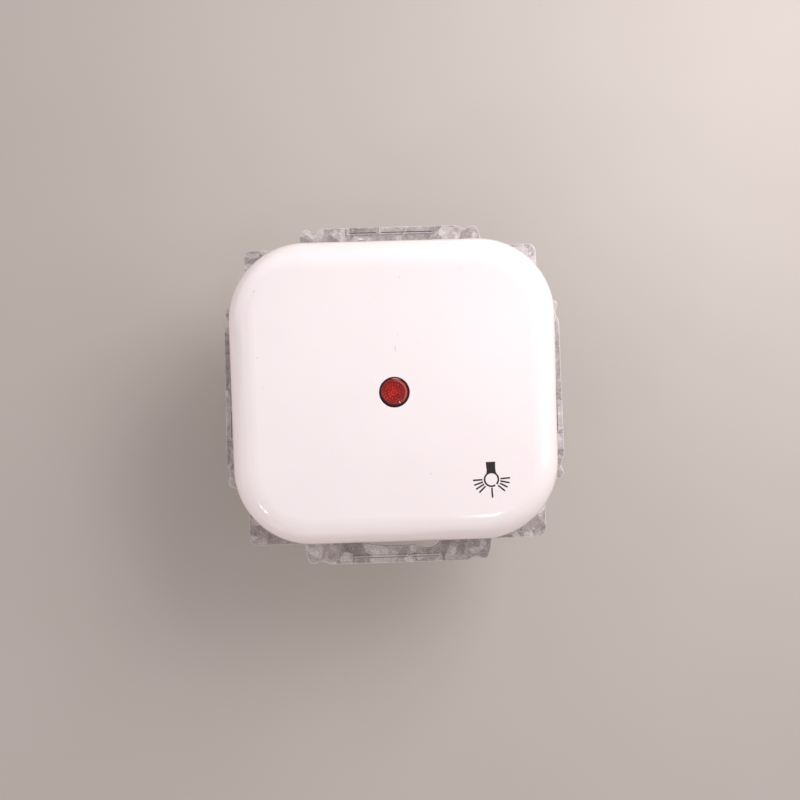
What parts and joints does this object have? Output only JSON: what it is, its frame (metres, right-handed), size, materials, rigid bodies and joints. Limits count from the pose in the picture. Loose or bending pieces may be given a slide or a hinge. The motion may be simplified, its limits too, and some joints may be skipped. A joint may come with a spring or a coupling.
{
  "type": "rocker light switch insert",
  "caption": "Flush wall switch insert with a wide tilting rocker, central indicator lens, stamped steel mounting frame, spreading claws and push-in terminals.",
  "frame": {"origin": "centre of the mounting frame, on its back face, which is the wall plane", "axes": "+Z out of the wall towards the user, +Y up as installed, +X to the right seen from the front"},
  "size_m": [0.0708, 0.0708, 0.0407],
  "materials": {
    "cap_plastic": "glossy moulded white with fine wear",
    "lens_red": "clear red with a prismatic pattern",
    "galvanised_sheet": "zinc coated, mottled",
    "inner_plastic": "satin moulded",
    "cover_plastic": "satin moulded",
    "base_plastic": "matt moulded",
    "zinc_screw": "zinc plated",
    "bright_steel": "drawn",
    "contact_silver": "silver face, slightly tarnished",
    "contact_brass": "rolled strip",
    "lamp_plastic": "satin moulded",
    "lamp_glass": "clear",
    "lead_wire": "tinned",
    "electrode_metal": "dull",
    "resistor_body": "lacquered",
    "plunger_plastic": "self-lubricating",
    "spring_steel": "bright",
    "claw_steel": "zinc plated",
    "button_plastic": "orange"
  },
  "bodies": {
    "insert": {"mounting_frame": "galvanised_sheet", "switch_base": "base_plastic", "front_cover": "cover_plastic", "assembly_screws": "zinc_screw", "claw_pins": "bright_steel", "lamp_holder": "lamp_plastic", "glow_lamp": "lamp_glass", "lamp_leads": "lead_wire", "lamp_electrodes": "electrode_metal", "lamp_resistor": "resistor_body", "fixed_contacts": "contact_silver", "common_terminal_left": "contact_brass", "common_terminal_right": "contact_brass", "switched_terminal_left": "contact_brass", "switched_terminal_right": "contact_brass", "clamp_spring_upper_left": "spring_steel", "clamp_spring_upper_right": "spring_steel", "clamp_spring_lower_left": "spring_steel", "clamp_spring_lower_right": "spring_steel"},
    "rocker": {"rocker_plate": "cap_plastic", "indicator_lens": "lens_red", "rocker_carrier": "inner_plastic", "plunger_spring_left": "spring_steel", "plunger_spring_right": "spring_steel"},
    "plunger_left": {"plunger_left": "plunger_plastic"},
    "lever_left": {"contact_lever_left": "contact_brass", "moving_contact_left": "contact_silver"},
    "claw_screw_left": {"claw_screw_left": "zinc_screw"},
    "claw_nut_left": {"claw_nut_left": "bright_steel"},
    "claw_left": {"claw_left": "claw_steel"},
    "release_button_upper_left": {"release_button_upper_left": "button_plastic"},
    "release_button_lower_left": {"release_button_lower_left": "button_plastic"},
    "plunger_right": {"plunger_right": "plunger_plastic"},
    "lever_right": {"contact_lever_right": "contact_brass", "moving_contact_right": "contact_silver"},
    "claw_screw_right": {"claw_screw_right": "zinc_screw"},
    "claw_nut_right": {"claw_nut_right": "bright_steel"},
    "claw_right": {"claw_right": "claw_steel"},
    "release_button_upper_right": {"release_button_upper_right": "button_plastic"},
    "release_button_lower_right": {"release_button_lower_right": "button_plastic"}
  },
  "joints": [
    {"name": "rocker_tilt", "type": "hinge", "parent": "insert", "child": "rocker", "pos_m": [0, 0, 0.0056], "axis": [1, 0, 0], "range_deg": [-8, 0]},
    {"name": "plunger_travel_left", "type": "slide", "parent": "rocker", "child": "plunger_left", "axis": [0, -0.0698, 0.9976], "range_m": [0, 0.0008], "deforming": ["plunger_spring_left"]},
    {"name": "contact_lever_swing_left", "type": "hinge", "parent": "insert", "child": "lever_left", "pos_m": [-0.0106, 0, -0.0072], "axis": [1, 0, 0], "range_deg": [0, 22]},
    {"name": "claw_screw_turn_left", "type": "hinge", "parent": "insert", "child": "claw_screw_left", "pos_m": [-0.0244, 0, 0], "axis": [0, 0, -1], "range_deg": [0, 1800]},
    {"name": "claw_nut_travel_left", "type": "slide", "parent": "insert", "child": "claw_nut_left", "axis": [0, 0, 1], "range_m": [0, 0.0025]},
    {"name": "claw_spread_left", "type": "hinge", "parent": "insert", "child": "claw_left", "pos_m": [-0.02, 0, -0.0085], "axis": [0, 1, 0], "range_deg": [0, 35.5]},
    {"name": "release_upper_left", "type": "slide", "parent": "insert", "child": "release_button_upper_left", "axis": [0, 0, 1], "range_m": [0, 0.0018], "deforming": ["clamp_spring_upper_left"]},
    {"name": "release_lower_left", "type": "slide", "parent": "insert", "child": "release_button_lower_left", "axis": [0, 0, 1], "range_m": [0, 0.0018], "deforming": ["clamp_spring_lower_left"]},
    {"name": "plunger_travel_right", "type": "slide", "parent": "rocker", "child": "plunger_right", "axis": [0, -0.0698, 0.9976], "range_m": [0, 0.0008], "deforming": ["plunger_spring_right"]},
    {"name": "contact_lever_swing_right", "type": "hinge", "parent": "insert", "child": "lever_right", "pos_m": [0.0106, 0, -0.0072], "axis": [1, 0, 0], "range_deg": [0, 22]},
    {"name": "claw_screw_turn_right", "type": "hinge", "parent": "insert", "child": "claw_screw_right", "pos_m": [0.0244, 0, 0], "axis": [0, 0, -1], "range_deg": [0, 1800]},
    {"name": "claw_nut_travel_right", "type": "slide", "parent": "insert", "child": "claw_nut_right", "axis": [0, 0, 1], "range_m": [0, 0.0025]},
    {"name": "claw_spread_right", "type": "hinge", "parent": "insert", "child": "claw_right", "pos_m": [0.02, 0, -0.0085], "axis": [0, -1, 0], "range_deg": [0, 35.5]},
    {"name": "release_upper_right", "type": "slide", "parent": "insert", "child": "release_button_upper_right", "axis": [0, 0, 1], "range_m": [0, 0.0018], "deforming": ["clamp_spring_upper_right"]},
    {"name": "release_lower_right", "type": "slide", "parent": "insert", "child": "release_button_lower_right", "axis": [0, 0, 1], "range_m": [0, 0.0018], "deforming": ["clamp_spring_lower_right"]}
  ],
  "couplings": [
    {"joint": "contact_lever_swing_left", "follows": "rocker_tilt", "ratio": -2.75},
    {"joint": "claw_screw_turn_left", "follows": "claw_nut_travel_left", "rad_per_m": 12566},
    {"joint": "claw_spread_left", "follows": "claw_nut_travel_left", "rad_per_m": 247.77},
    {"joint": "contact_lever_swing_right", "follows": "rocker_tilt", "ratio": -2.75},
    {"joint": "claw_screw_turn_right", "follows": "claw_nut_travel_right", "rad_per_m": 12566},
    {"joint": "claw_spread_right", "follows": "claw_nut_travel_right", "rad_per_m": 247.77}
  ]
}
